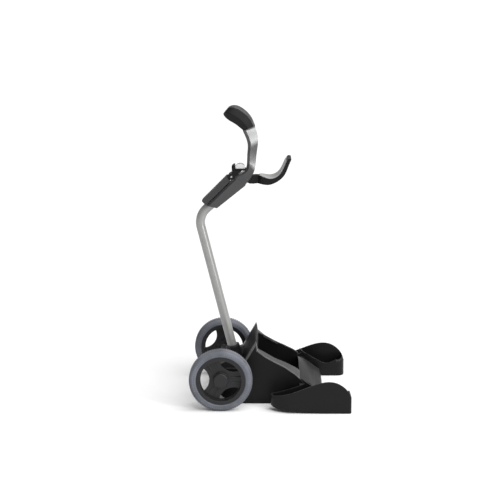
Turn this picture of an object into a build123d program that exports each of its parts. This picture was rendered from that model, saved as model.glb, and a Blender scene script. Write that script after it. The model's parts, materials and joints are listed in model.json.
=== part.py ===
from build123d import *
from math import cos, radians, sin
import os

# A two-wheeled push cart for a golf bag: moulded base with a bag cup and two feet,
# a bent tube column, and a head with handle, clamp lever and bag cradle.
# X runs forward from the wheel axle to the feet, Y to the left, Z up. All points below are
# drawn with X measured from the axle; export() moves them to the middle of the footprint.

# ---- wheels and axle ----
WHEEL_R = 100.0
TRACK = 376.4            # distance between the two tyre centres
TYRE_WIDTH = 36.0
TYRE_INNER_R = 78.0
RIM_INNER_R = 66.0
RIM_WIDTH = 31.0
HUB_R = 24.0
AXLE_R = 6.0
SPACER_R = 10.0
WASHER_R = 11.0
WASHER_THICK = 1.5
SPRING_CAP_R = 9.0
SPRING_CAP_DEPTH = 3.5
BUSH_R = 9.0
BUSH_SHANK = 8.0
BUSH_FLANGE_R = 12.0
BUSH_FLANGE = 2.0
HUB_CAP_DEPTH = 13.0
WEB_THICK = 6.0
RUNNING_GAP = 0.05       # radial clearance of a shaft in its bush
FACE_GAP = 0.4           # clearance between a fixed and a moving face
WHEEL_Y = TRACK / 2
HUB_IN = WHEEL_Y - 17    # inner and outer faces of the hub
HUB_OUT = WHEEL_Y + 2
AXLE = Vector(0, 0, WHEEL_R)

# ---- base ----
FOOT_FRONT = 411.0       # front of the feet
FOOT_HEEL = 158.0
FOOT_OUTER = 221.75      # outer faces of the feet, half the overall width
FOOT_INNER = 168.0
FOOT_WALL = 5.0
FOOT_BEAD = 2.5          # how far the rolled rim stands out from the inner wall of a foot
BIN_OUTER = 125.0        # outer faces of the bag cup walls
BIN_INNER = 100.0
SKIN = 3.5               # wall thickness of the mouldings
CUP_REAR = 117.0
CUP_FRONT = 250.0
NOSE_FRONT = 326.0
FLOOR_LOW = 1.0
FLOOR_TOP = 5.0
BEAM_HALF = BIN_INNER - 0.5
SOCKET_BOSS_R = 24.0
FLOOR_SCREWS = [(x, y) for x in (90, 190, 300) for y in (-112, 112)]
FLOOR_SCREW_HEAD_R = 5.0
SCREW_HEAD_DEPTH = 2.0
SCREW_SHANK_R = 2.0

# ---- column ----
TUBE_R = 15.0
TUBE_WALL = 2.0
COLUMN_LEAN = 14.0       # degrees back from upright
COLUMN_REACH = 446.0     # socket mouth to the corner of the bend
BEND_R = 60.0
HEAD_TILT = 42.0         # degrees above level
UPPER_REACH = 172.0      # corner of the bend to the top of the tube
SOCKET_DEPTH = 95.0
SOCKET_MOUTH = Vector(33, 0, 157)
SLEEVE_WALL = 3.0
SLEEVE_FLOOR = 4.0       # ledge under the column
COLLAR_HEIGHT = 4.0

# ---- head ----
LEVER_PIVOT = Vector(33, 0, 720)
CRADLE_PIVOT = Vector(82, 0, 712)
PIN_R = 3.0
EAR_R = 10.0
SLOT_HALF = 12.5         # half the slot that the cradle tongue swings in
CRADLE_HALF = 45.0
LEVER_HALF = 22.0
LEVER_HUB_HALF = 14.0
BUTTON_TRAVEL = 4.0
LEDGE = 739.0            # level of the button's seat
BEZEL_FRONT = 78.0
BEZEL_HALF = 17.0
HEAD_SCREWS = [(97, 768), (101, 822), (92, 868)]
SCREW_SEAT = 13.0        # distance of the head screws' seats from the centre line
HEAD_SCREW_HEAD_R = 3.6
HEAD_SCREW_R = 1.5
HEAD_SCREW_LENGTH = 20.0
INLAY_DEPTH = 0.13       # share of the grip's depth taken by its top inlay

AXLE_TO_MIDDLE = (WHEEL_R - FOOT_FRONT) / 2
LEAN_DIR = Vector(-sin(radians(COLUMN_LEAN)), 0, cos(radians(COLUMN_LEAN)))
HEAD_DIR = Vector(cos(radians(HEAD_TILT)), 0, sin(radians(HEAD_TILT)))
TUBE_BOTTOM = SOCKET_MOUTH - LEAN_DIR * SOCKET_DEPTH
BEND_CORNER = SOCKET_MOUTH + LEAN_DIR * COLUMN_REACH
TUBE_TOP = BEND_CORNER + HEAD_DIR * UPPER_REACH

os.makedirs("parts", exist_ok=True)


def export(name, shape):
    export_step(Pos(AXLE_TO_MIDDLE, 0, 0) * shape, f"parts/{name}.step")


# ---- drawing helpers ----
def side_face(edges):
    """Face in the X-Z plane from edges, or from a list of (x, z) points."""
    if isinstance(edges[0], tuple):
        edges = Wire.make_polygon([(x, 0, z) for x, z in edges], close=True).edges()
    return make_face(edges)


def side_prism(edges, y_low, y_high):
    """A side-view outline carried across from y_low to y_high."""
    return Pos(0, y_low, 0) * extrude(side_face(edges), amount=y_high - y_low, dir=(0, 1, 0))


def curve(points):
    return Spline(*[(x, 0, z) for x, z in points])


def line(points):
    return Polyline(*[(x, 0, z) for x, z in points])


def box(x_low, x_high, y_low, y_high, z_low, z_high):
    middle = ((x_low + x_high) / 2, (y_low + y_high) / 2, (z_low + z_high) / 2)
    return Pos(*middle) * Box(x_high - x_low, y_high - y_low, z_high - z_low)


def rod(centre, radius, y_low, y_high):
    """Cylinder across the cart, along Y."""
    disc = Plane(origin=(centre.X, y_low, centre.Z), x_dir=(1, 0, 0), z_dir=(0, 1, 0)) * Circle(radius)
    return extrude(disc, amount=y_high - y_low, dir=(0, 1, 0))


def bar(start, direction, radius, length):
    """Cylinder from start along a direction in the X-Z plane."""
    return extrude(Plane(origin=start, z_dir=direction) * Circle(radius), amount=length)


def ring(start, direction, outer, inner, length):
    return bar(start, direction, outer, length) - bar(start, direction, inner, length)


def lowered(points, drop):
    return [(x, z - drop) for x, z in points]


# ---- base: side outlines ----
# Top of a cup wall from the axle beam up the fin to its peak, then down to the hood.
FIN = [(52, 120), (66, 126), (111, 204), (116, 177)]
WALL_OUTER_EDGE = [(140, 157), (172, 139), (203, 123), (219, 111), (235, 100), (CUP_FRONT, 86)]
WALL_INNER_EDGE = [(140, 164), (172, 145), (203, 132), (219, 124), (235, 116), (CUP_FRONT, 106)]
FIN_UNDER = [(52, 116), (68, 122), (109.5, 192), (112, 174)]
WALL_FRONT = 268.0       # the outer skin runs on past the cup to here
REAR_LOW = [(60, FLOOR_TOP), (15, 15), (-5, 30), (-16, 70), (-18, 100), (-8, 114), (20, 116)]
LEDGE_LINE = [(134, 161), (182, 134.5), (182, 131.5), (134, 158)]   # short rib inside the cup
LEDGE_OUT = 2.5


def bin_wall(side):
    """One double-skinned cup wall: outer skin, inner skin and closed ends, open underneath."""
    outer_top = FIN_UNDER + lowered(WALL_OUTER_EDGE, SKIN)
    inner_top = FIN_UNDER + lowered(WALL_INNER_EDGE, SKIN)
    outer_skin = side_prism(
        REAR_LOW + outer_top + [(WALL_FRONT, 66), (WALL_FRONT, FLOOR_TOP)],
        BIN_OUTER - SKIN, BIN_OUTER)
    inner_skin = side_prism(
        REAR_LOW + inner_top + [(CUP_FRONT, FLOOR_TOP)], BIN_INNER, BIN_INNER + SKIN)
    block = side_prism(
        REAR_LOW + outer_top + [(CUP_FRONT, FLOOR_TOP)], BIN_INNER, BIN_OUTER)
    room = side_prism(
        [(68, -1), (20, 18), (0, 33), (-11, 71), (-13, 98), (-4, 109), (56, 112), (71, 118),
         (107, 180), (112, 166), (140, 148), (172, 130), (203, 114), (219, 102), (CUP_FRONT - 4, 80),
         (CUP_FRONT - 4, -1)], BIN_INNER + SKIN, BIN_OUTER - SKIN)
    rib = side_prism(LEDGE_LINE, BIN_INNER - LEDGE_OUT, BIN_INNER + SKIN)
    wall = outer_skin + inner_skin + (block - room) + rib - rim_trim(1)
    wall = wall - rod(Vector(0, 0, WHEEL_R), AXLE_R, BIN_INNER - 1, BIN_OUTER + 1)
    return wall if side > 0 else mirror(wall, Plane.XZ)


def rear_panel():
    """Sloping back of the base between the fins, folded over into the rear wall of the cup."""
    outline = [(50, 119), (66, 126), (110, 204), (113, 204), (117, 177), (117, FLOOR_TOP),
               (CUP_REAR - SKIN, FLOOR_TOP), (CUP_REAR - SKIN, 172), (109.5, 190), (69.5, 122), (52, 115)]
    panel = side_prism(outline, -BIN_INNER, BIN_INNER)
    return panel - bar(SOCKET_MOUTH - LEAN_DIR * 70, LEAN_DIR, SOCKET_BOSS_R, 80)


def bin_floor():
    """Base tray under the cup; its front part reaches out to the feet."""
    tray = box(60, NOSE_FRONT, -BIN_OUTER, BIN_OUTER, FLOOR_LOW, FLOOR_TOP)
    wings = box(200, NOSE_FRONT, -FOOT_INNER, FOOT_INNER, FLOOR_LOW, FLOOR_TOP)
    tray = tray + wings
    for x, y in FLOOR_SCREWS:
        seat = Cylinder(FLOOR_SCREW_HEAD_R + 0.2, 2 * SCREW_HEAD_DEPTH + 0.4)
        hole = Cylinder(SCREW_SHANK_R, 20)
        tray = tray - Pos(x, y, FLOOR_LOW) * seat - Pos(x, y, FLOOR_LOW) * hole
    return tray


def rim_trim(side):
    """Capping strip: up the fin, over its peak and along the sloping top of one wall."""
    bottom_outer = lowered(WALL_OUTER_EDGE, SKIN)
    bottom_inner = lowered(WALL_INNER_EDGE, SKIN)
    outer = FIN[3:] + WALL_OUTER_EDGE + bottom_outer[::-1] + FIN_UNDER[3:]
    inner = FIN[3:] + WALL_INNER_EDGE + bottom_inner[::-1] + FIN_UNDER[3:]
    low_wire = Wire.make_polygon([(x, BIN_OUTER + 0.6, z) for x, z in outer], close=True)
    high_wire = Wire.make_polygon([(x, BIN_INNER, z) for x, z in inner], close=True)
    strip = Solid.make_loft([low_wire, high_wire], ruled=True)
    fin = side_prism(FIN + FIN_UNDER[::-1], BIN_INNER, BIN_OUTER + 0.6)
    trim = fin + strip
    return trim if side > 0 else mirror(trim, Plane.XZ)


def nose_profile(y, rear, front, inset):
    """Closed side outline of the nose at one width: sloping top, rounded front, open below."""
    drop = rear / 104
    points = [(CUP_FRONT, rear), (265, rear - 7 * drop), (285, rear - 23 * drop), (303, rear - 43 * drop),
              (317, front + 12 * drop), (NOSE_FRONT - inset, front - inset)]
    top = [(points[0][0], points[0][1] - inset)]
    top += [(x - inset * 0.5, z - inset) for x, z in points[1:5]]
    edge = Spline(*[(x, y, z) for x, z in top + points[5:]])
    low = FLOOR_TOP
    rest = Polyline((NOSE_FRONT - inset, y, front - inset), (NOSE_FRONT - inset, y, low),
                    (CUP_FRONT, y, low), (CUP_FRONT, y, rear - inset))
    return Wire([edge, *rest.edges()])


def hood():
    """Nose in front of the cup: a crowned middle and two lower wings that meet the feet."""
    half = BIN_OUTER - SKIN
    stations = [(-half, 84, 26), (0, 104, 42), (half, 84, 26)]
    middle = Solid.make_loft([nose_profile(y, rear, front, 0) for y, rear, front in stations])
    hollow = Solid.make_loft([nose_profile(y, rear, front, SKIN) for y, rear, front in stations])
    hollow = hollow - box(CUP_FRONT, CUP_FRONT + SKIN, -200, 200, 0, 200)
    wing_line = [(CUP_FRONT, FLOOR_TOP), (CUP_FRONT, 68), (266, 67.5), (294, 48), (311, 35),
                 (NOSE_FRONT, 25), (NOSE_FRONT, FLOOR_TOP)]
    wing_room = [(CUP_FRONT - 1, FLOOR_TOP - 1), (CUP_FRONT - 1, 64), (265, 63.5), (291, 45), (308, 32),
                 (NOSE_FRONT - SKIN, 22), (NOSE_FRONT - SKIN, FLOOR_TOP - 1)]
    nose = middle - hollow
    for side in (1, -1):
        low, high = sorted((side * half, side * FOOT_INNER))
        wing = side_prism(wing_line, low, high)
        room_low, room_high = sorted((side * (BIN_OUTER + 0.5), side * (FOOT_INNER - SKIN)))
        skin_low, skin_high = sorted((side * (half - 0.01), side * BIN_OUTER))
        wing = wing - side_prism(wing_room, room_low, room_high)
        wing = wing - box(CUP_FRONT - 1, WALL_FRONT, skin_low, skin_high, 0, 200)
        nose = nose + wing
    return nose


# ---- feet ----
FOOT_TOP = [(FOOT_HEEL, 50), (205, 61), (255, 78), (300, 95), (335, 102.5), (362, 99.5), (385, 87),
            (402, 69), (FOOT_FRONT, 50)]
FOOT_SOLE = [(328, 0), (249, 4), (202, 9), (171, 13), (FOOT_HEEL, 16)]
SCOOP = [(258, 98), (270, 87), (290, 74), (325, 54), (346, 46), (363, 48), (378, 56), (390, 66), (397, 82)]
BEAD_LOW = [(258, 90), (270, 77), (290, 62), (325, 40), (346, 32), (366, 34), (384, 43), (395, 53), (402, 65)]
FOOT_HEEL_CURVE = 66.0   # length of the swept-in outer heel, seen from above
FOOT_HEEL_WIDTH = 14.0   # width of the heel end
TOE_INNER_R = 24.0
TOE_OUTER_R = 9.0
TOE_CUT_X = 384.0        # ahead of here the rim slopes down towards the inner side
TOE_INNER_Z = 52.0
TOE_OUTER_Z = 96.0


def corner_near(face, x, y):
    """The corner of a flat face that lies nearest to (x, y)."""
    return face.vertices().sort_by_distance((x, y, 0))[0]


def foot_plan(inset):
    """Plan of a foot: square toe with rounded corners, outer side swept in to a narrow heel."""
    rear, front = FOOT_HEEL + inset, FOOT_FRONT - inset
    inner, outer = FOOT_INNER + inset, FOOT_OUTER - inset
    sweep_start = (FOOT_HEEL + FOOT_HEEL_CURVE, outer)
    heel_end = (rear, FOOT_INNER + FOOT_HEEL_WIDTH)
    side = Spline(sweep_start, (FOOT_HEEL + 22, outer - 13), heel_end, tangents=[(-1, 0), (-0.25, -1)])
    rest = Polyline(heel_end, (rear, inner), (front, inner), (front, outer), sweep_start)
    face = make_face([side, *rest.edges()])
    face = fillet(corner_near(face, front, inner), TOE_INNER_R - inset)
    return fillet(corner_near(face, front, outer), TOE_OUTER_R - inset)


def foot(side):
    """Hollow open-topped foot, high outside and scooped low on its inner side."""
    nose = line([(FOOT_FRONT, 50), (FOOT_FRONT, 0), (328, 0)])
    heel = line([(FOOT_HEEL, 16), (FOOT_HEEL, 50)])
    outline = [curve(FOOT_TOP), *nose.edges(), curve(FOOT_SOLE), heel]
    body = side_prism(outline, FOOT_INNER, FOOT_OUTER) & extrude(foot_plan(0), amount=150)
    floor_line = [(FOOT_HEEL, 20), (171, 17), (202, 13), (249, 8), (328, 4), (FOOT_FRONT, 4),
                  (FOOT_FRONT, 150), (FOOT_HEEL, 150)]
    room = extrude(foot_plan(FOOT_WALL), amount=150) & side_prism(floor_line, FOOT_INNER, FOOT_OUTER)
    rest = line([(397, 82), (397, 150), (258, 150), (258, 98)])
    scoop = side_prism([curve(SCOOP), *rest.edges()], FOOT_INNER - 10, FOOT_INNER + 14)
    beyond, clear_top = FOOT_OUTER + 1, 150
    toe_slope = Wire.make_polygon([(TOE_CUT_X, FOOT_INNER, TOE_INNER_Z), (TOE_CUT_X, beyond, TOE_OUTER_Z),
                                   (TOE_CUT_X, beyond, clear_top), (TOE_CUT_X, FOOT_INNER - 10, clear_top),
                                   (TOE_CUT_X, FOOT_INNER - 10, TOE_INNER_Z)], close=True)
    toe_cut = extrude(make_face(toe_slope), amount=40, dir=(1, 0, 0))
    joins = line([(397, 82), (402, 65)]), line([(258, 90), (258, 98)])
    band = [curve(SCOOP), joins[0], curve(BEAD_LOW), joins[1]]
    bead = side_prism(band, FOOT_INNER - FOOT_BEAD, FOOT_INNER + TOE_INNER_R)
    bead = bead & extrude(foot_plan(-FOOT_BEAD), amount=150)
    body = (body + bead) - room - scoop - toe_cut
    return body if side > 0 else mirror(body, Plane.XZ)


# ---- axle, beam and socket ----
def axle_beam():
    """Cross beam behind the cup with the boss that holds the column."""
    outline = [(-18, 84), (-20, 104), (-8, 122), (12, 132), (34, 132), (49, 116), (60, 108), (64, 60),
               (34, 60)]
    beam = side_prism(outline, -BEAM_HALF, BEAM_HALF)
    boss_length = SOCKET_DEPTH + SLEEVE_FLOOR + 4
    boss = bar(SOCKET_MOUTH - LEAN_DIR * boss_length, LEAN_DIR, SOCKET_BOSS_R - 0.3, boss_length)
    bore_start = SOCKET_MOUTH - LEAN_DIR * (SOCKET_DEPTH + SLEEVE_FLOOR)
    bore = bar(bore_start, LEAN_DIR, TUBE_R + SLEEVE_WALL, SOCKET_DEPTH + 20)
    return beam + boss - bore - rod(AXLE, AXLE_R, -BIN_OUTER, BIN_OUTER)


def socket_sleeve():
    """Liner in the boss with a collar round the mouth and a ledge that the column stands on."""
    start = SOCKET_MOUTH - LEAN_DIR * (SOCKET_DEPTH + SLEEVE_FLOOR)
    sleeve = bar(start, LEAN_DIR, TUBE_R + SLEEVE_WALL, SOCKET_DEPTH + SLEEVE_FLOOR)
    collar = bar(SOCKET_MOUTH, LEAN_DIR, SOCKET_BOSS_R - 1, COLLAR_HEIGHT)
    bore = bar(TUBE_BOTTOM - LEAN_DIR * FACE_GAP, LEAN_DIR, TUBE_R + RUNNING_GAP, SOCKET_DEPTH + 20)
    drain = bar(start, LEAN_DIR, TUBE_R - 5, 20)
    return sleeve + collar - bore - drain


def axle_rod():
    half_length = HUB_OUT + BUSH_FLANGE + FACE_GAP + WASHER_THICK + SPRING_CAP_DEPTH + 2.4
    return rod(AXLE, AXLE_R, -half_length, half_length)


def mirrored(make):
    """A left-hand piece and its right-hand twin."""
    left = make()
    return left, mirror(left, Plane.XZ)


def axle_spacer():
    inner_end = BIN_OUTER + 0.2
    outer_end = HUB_IN - BUSH_FLANGE - FACE_GAP
    return rod(AXLE, SPACER_R, inner_end, outer_end) - rod(AXLE, AXLE_R, inner_end, outer_end)


def axle_end():
    """Washer and spring cap that keep the wheel on the axle."""
    washer_in = HUB_OUT + BUSH_FLANGE + FACE_GAP
    cap_in = washer_in + WASHER_THICK
    cap_out = cap_in + SPRING_CAP_DEPTH
    washer = rod(AXLE, WASHER_R, washer_in, cap_in)
    cap = rod(AXLE, SPRING_CAP_R, cap_in, cap_out)
    return washer + cap - rod(AXLE, AXLE_R, washer_in, cap_out)


# ---- wheels ----
def tyre():
    """Soft rounded tyre ring."""
    half = TYRE_WIDTH / 2
    section = Plane(origin=(0, WHEEL_Y, WHEEL_R), x_dir=(0, 1, 0), z_dir=(1, 0, 0))
    corners = [(-half, TYRE_INNER_R), (half, TYRE_INNER_R), (half, WHEEL_R), (-half, WHEEL_R)]
    face = make_face(FilletPolyline(*corners, radius=[2, 2, 12, 12], close=True))
    return revolve(section * face, axis=Axis((0, WHEEL_Y, WHEEL_R), (0, 1, 0)))


def window(angle):
    """Lens-shaped opening in the disc, bounded by the rim and by an arc that dips to the hub."""
    rim_r, half_angle, low_r = 64.0, 34.0, 36.0
    ends = [Vector(rim_r * cos(radians(angle + a)), 0, rim_r * sin(radians(angle + a)) + WHEEL_R)
            for a in (-half_angle, half_angle)]
    rim_mid = Vector(rim_r * cos(radians(angle)), 0, rim_r * sin(radians(angle)) + WHEEL_R)
    low_mid = Vector(low_r * cos(radians(angle)), 0, low_r * sin(radians(angle)) + WHEEL_R)
    outline = Wire([Edge.make_three_point_arc(ends[0], rim_mid, ends[1]),
                    Edge.make_three_point_arc(ends[1], low_mid, ends[0])])
    return Pos(0, WHEEL_Y - 30, 0) * extrude(make_face(outline), amount=60, dir=(0, 1, 0))


def wheel_disc(first_window):
    """Moulded wheel centre: rim ring, dished web with three windows, ribs and hub."""
    rim = rod(AXLE, TYRE_INNER_R, WHEEL_Y - RIM_WIDTH / 2, WHEEL_Y + RIM_WIDTH / 2)
    rim = rim - rod(AXLE, RIM_INNER_R, WHEEL_Y - RIM_WIDTH, WHEEL_Y + RIM_WIDTH)
    web_face = WHEEL_Y - 1
    web = rod(AXLE, RIM_INNER_R + 1, web_face - WEB_THICK, web_face)
    for step in range(3):
        web = web - window(first_window + 120 * step)
    rib_length, rib_width, rib_height, rib_middle = 34, 3, 6, 50
    for step in range(3):
        spoke_angle = first_window + 60 + 120 * step
        for offset in (-9, 9):
            rib = Pos(rib_middle, offset, 0) * Box(rib_length, rib_width, rib_height)
            web = web + Pos(0, web_face, WHEEL_R) * Rot(0, -spoke_angle, 0) * Rot(90, 0, 0) * rib
    disc = rim + web + rod(AXLE, HUB_R, HUB_IN, HUB_OUT)
    return disc - rod(AXLE, BUSH_R, HUB_IN - 1, HUB_OUT + 1)


def bushes():
    """Flanged plain bushes pressed into the two ends of the hub."""
    inner = rod(AXLE, BUSH_R, HUB_IN, HUB_IN + BUSH_SHANK)
    inner = inner + rod(AXLE, BUSH_FLANGE_R, HUB_IN - BUSH_FLANGE, HUB_IN)
    outer = rod(AXLE, BUSH_R, HUB_OUT - BUSH_SHANK, HUB_OUT)
    outer = outer + rod(AXLE, BUSH_FLANGE_R, HUB_OUT, HUB_OUT + BUSH_FLANGE)
    hole = rod(AXLE, AXLE_R + RUNNING_GAP, HUB_IN - BUSH_FLANGE - 1, HUB_OUT + BUSH_FLANGE + 1)
    return Compound([(inner - hole).solid(), (outer - hole).solid()])


def hub_cap():
    """Domed cap over the axle end, seated on the rim of the hub."""
    wall, roof, edge_r = 4, 2, 5
    cap = rod(AXLE, HUB_R, HUB_OUT, HUB_OUT + HUB_CAP_DEPTH)
    cap = fillet(cap.edges().filter_by(GeomType.CIRCLE).sort_by(Axis.Y)[-1], edge_r)
    return cap - rod(AXLE, HUB_R - wall, HUB_OUT, HUB_OUT + HUB_CAP_DEPTH - roof)


# ---- column ----
def column_tube():
    route = FilletPolyline(tuple(TUBE_BOTTOM), tuple(BEND_CORNER), tuple(TUBE_TOP), radius=BEND_R)
    ends = Plane(origin=TUBE_BOTTOM, z_dir=LEAN_DIR)
    outside = sweep(ends * Circle(TUBE_R), path=route)
    inside = sweep(ends * Circle(TUBE_R - TUBE_WALL), path=route)
    return outside - inside


def tube_plug(start, direction):
    """Plastic plug pressed into a tube end, its flat head flush with the cut."""
    return bar(start, direction, TUBE_R - TUBE_WALL, 16) - bar(start + direction * 3, direction, 9, 14)


# ---- head ----
def hexagon(front, back, half_front, half_crest, half_back, crest):
    """Six-sided section of the head: front edge, widest line, back edge."""
    front, back = Vector(front[0], 0, front[1]), Vector(back[0], 0, back[1])
    middle = front + (back - front) * crest
    rows = [(front, half_front), (middle, half_crest), (back, half_back)]
    points = [(p.X, -half, p.Z) for p, half in rows] + [(p.X, half, p.Z) for p, half in rows[::-1]]
    return Wire.make_polygon(points, close=True)


def handle_arm():
    """Arm that rises from the front of the housing and curves back to the grip."""
    stations = [
        hexagon((76, 690), (44, 716), 19, 26, 24, 0.85),
        hexagon((92, 713), (62, 729), 19, 25, 22, 0.85),
        hexagon((106, 739), (79, 745), 17, 24, 17, 0.72),
        hexagon((111, 771), (83, 778), 13, 23, 14, 0.70),
        hexagon((116, 812), (85, 811), 11, 22, 13, 0.70),
        hexagon((116, 851), (79, 844), 11, 23, 13, 0.72),
        hexagon((108, 882), (70, 867), 13, 26, 15, 0.72)]
    return Solid.make_loft(stations)


def handle_tang():
    """Stiff core of the handle that carries on inside the grip."""
    stations = [
        hexagon((97, 877), (79, 869), 8, 11, 8, 0.5),
        hexagon((84, 900), (65, 886), 8, 12, 8, 0.5),
        hexagon((58, 920), (43, 902), 8, 11, 8, 0.5)]
    return Solid.make_loft(stations)


def housing():
    """Lower body of the head round the top of the column."""
    low = hexagon((-14, 617), (-46, 628), 15, 26, 23, 0.8)
    high = hexagon((76, 690), (44, 716), 19, 26, 24, 0.85)
    return Solid.make_loft([low, high], ruled=True)


GRIP_STATIONS = [
    ((108, 882), (70, 867), 16, 27, 17),
    ((101, 898), (63, 874), 20, 33, 21),
    ((90, 915), (54, 882), 24, 38, 25),
    ((70, 933), (38, 893), 26, 41, 27),
    ((51, 942.5), (23, 902), 25, 40, 26),
    ((34, 943), (12, 912), 21, 34, 21),
    ((22, 936), (8, 919), 11, 20, 11)]


def grip_body(low_crest, high_crest):
    """Slice of the grip between two depths, 0 at its top edge and 1 at its under edge."""
    wires = []
    for top, under, half_top, half_crest, half_under in GRIP_STATIONS:
        top, under = Vector(top[0], 0, top[1]), Vector(under[0], 0, under[1])
        rows = []
        for depth in (low_crest, 0.5 * (low_crest + high_crest), high_crest):
            if depth < 0.5:
                half = half_top + (half_crest - half_top) * depth / 0.5
            else:
                half = half_crest + (half_under - half_crest) * (depth - 0.5) / 0.5
            rows.append((top + (under - top) * depth, half))
        points = [(p.X, -h, p.Z) for p, h in rows] + [(p.X, h, p.Z) for p, h in rows[::-1]]
        wires.append(Wire.make_polygon(points, close=True))
    return Solid.make_loft(wires)


def head_shell():
    """Housing, clevis for the cradle and handle arm in one moulding, with its bores cut."""
    shell = housing() + handle_arm() + handle_tang()
    bore_start = BEND_CORNER + HEAD_DIR * 20
    shell = shell - bar(bore_start, HEAD_DIR, TUBE_R + SLEEVE_WALL - 1, UPPER_REACH - 20 + 2)
    slot = [(82, 694.5), (84, 686), (130, 686), (130, 744), (104, 745), (84, 732), (70, 724), (66, 712),
            (71, 699)]
    shell = shell - side_prism(slot, -SLOT_HALF, SLOT_HALF)
    shell = shell - rod(LEVER_PIVOT, EAR_R + 2, -LEVER_HUB_HALF - 0.5, LEVER_HUB_HALF + 0.5)
    shell = shell - rod(CRADLE_PIVOT, PIN_R, -40, 40)
    for x, z in HEAD_SCREWS:
        shell = shell - rod(Vector(x, 0, z), HEAD_SCREW_HEAD_R + 0.4, SCREW_SEAT, 40)
        shell = shell - rod(Vector(x, 0, z), HEAD_SCREW_R, SCREW_SEAT - HEAD_SCREW_LENGTH - 4, SCREW_SEAT)
    bezel = box(33.5, BEZEL_FRONT, -BEZEL_HALF, BEZEL_HALF, LEDGE, LEDGE + 30)
    return shell - head_cover_block() - bezel


def head_cover_block():
    return side_prism([(37, 712), (50, 725), (66, 739), (44, 739), (33, 735), (33, 726)], -24, 24)


def head_cover():
    """Upper cover: ears for the lever pin and the ledge that the button sits in."""
    cover = head_cover_block()
    for side in (1, -1):
        low, high = sorted((side * (LEVER_HUB_HALF + 0.5), side * 24))
        cover = cover + rod(LEVER_PIVOT, EAR_R, low, high)
    hub_room = LEVER_HUB_HALF + 0.5
    cover = cover - rod(LEVER_PIVOT, EAR_R + 0.6, -hub_room, hub_room)
    cover = cover - box(10, LEVER_PIVOT.X, -hub_room, hub_room, 700, 760)
    cover = cover - rod(LEVER_PIVOT, PIN_R, -40, 40)
    return cover - housing() - handle_arm()


def guide_sleeve():
    """Plastic liner between housing and tube, open at the top where the lever lies."""
    start = BEND_CORNER + HEAD_DIR * 62
    sleeve = ring(start, HEAD_DIR, TUBE_R + SLEEVE_WALL - 1, TUBE_R + RUNNING_GAP, 100)
    lever_side = [(-60, 614), (70, 742), (0, 800), (-120, 700)]
    return sleeve - side_prism(lever_side, -30, 30)


def clamp_lever():
    """Long lever over the tube; its hub carries the cam that presses on the clamp shoe."""
    top_edge = [(-62, 641), (-60, 644), (18, 722)]
    lever = side_prism(top_edge + [(23, 712.5), (29, 706), (-50, 628.5)], -LEVER_HALF, LEVER_HALF)
    lever = lever - rod(LEVER_PIVOT, EAR_R + 1, -LEVER_HALF - 1, LEVER_HALF + 1)
    hub = rod(LEVER_PIVOT, EAR_R - 0.6, -LEVER_HUB_HALF, LEVER_HUB_HALF)
    neck = side_prism([(12, 716), (20, 722), (27, 727.5), (33, 722), (33, 715), (30, 709.5), (22, 704)],
                      -LEVER_HUB_HALF, LEVER_HUB_HALF)
    lever = lever + hub + neck
    lever = lever - bar(BEND_CORNER + HEAD_DIR * 10, HEAD_DIR, TUBE_R + 1.2, UPPER_REACH)
    return lever - rod(LEVER_PIVOT, PIN_R + RUNNING_GAP, -40, 40)


def pin(centre, half_length):
    """Plain pin with a slightly larger head at each end."""
    return rod(centre, PIN_R, -half_length, half_length)


def button_collar():
    """Bezel round the button with a raised lip behind it."""
    outer = box(34, BEZEL_FRONT, -BEZEL_HALF, BEZEL_HALF, LEDGE, LEDGE + 6)
    lip = side_prism([(34, LEDGE), (33.5, 752), (38, 757), (45, 758.5), (44.5, LEDGE)], -15, 15)
    return outer + lip - box(45, BEZEL_FRONT - 2, -13.5, 13.5, LEDGE - 1, 770)


def release_button():
    """Domed push button, drawn at rest and free to sink by its travel."""
    low = LEDGE + BUTTON_TRAVEL + FACE_GAP
    back, front, shoulder, crown = 45.5, BEZEL_FRONT - 2.5, 752, 760.5
    middle = (back + front) / 2
    dome = [Edge.make_line((back, 0, low), (back, 0, shoulder)),
            Edge.make_three_point_arc((back, 0, shoulder), (middle, 0, crown), (front, 0, shoulder)),
            Edge.make_line((front, 0, shoulder), (front, 0, low)),
            Edge.make_line((front, 0, low), (back, 0, low))]
    button = side_prism(dome, -13, 13)
    return button - box(back + 3.5, front - 3.5, -9.5, 9.5, low - 1, 750)


# ---- cradle ----
CRADLE_TOP = [(112, 724.5), (132, 720.5), (156, 716), (181, 725), (197, 747), (208, 773)]
CRADLE_LOW = [(223, 778), (214, 757), (199, 725.5), (175, 705.5), (150, 697), (124, 697.5), (104, 696)]
CRADLE_TIP_Z = 780.5
TONGUE_HALF = SLOT_HALF - 1
PAD_TOP = [(122, 725.2), (133, 723.5), (156, 719), (179.6, 727.8), (194.4, 748.4), (205.2, 773)]
PAD_INSET = 3.0          # from the pad's edge to the edge of the plate


def cradle_plan(inset):
    """Plan of the hook: a narrow tongue that flares in a smooth curve to the full plate."""
    flare = [(114, TONGUE_HALF), (121, 18), (131, 31), (145, 41.5), (162, CRADLE_HALF)]
    flare = [(x, y - inset) for x, y in flare]
    left = Spline(*flare, tangents=[(1, 0), (1, 0)])
    right = Spline(*[(x, -y) for x, y in flare], tangents=[(1, 0), (1, 0)])
    behind, ahead = 60, 240
    (rear_x, narrow), (front_x, wide) = flare[0], flare[-1]
    rear = Polyline((rear_x, narrow), (behind, narrow), (behind, -narrow), (rear_x, -narrow))
    front = Polyline((front_x, wide), (ahead, wide), (ahead, -wide), (front_x, -wide))
    plan = make_face([left, right, *rear.edges(), *front.edges()])
    return Pos(0, 0, 600) * extrude(plan, amount=250, dir=(0, 0, 1))


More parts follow.
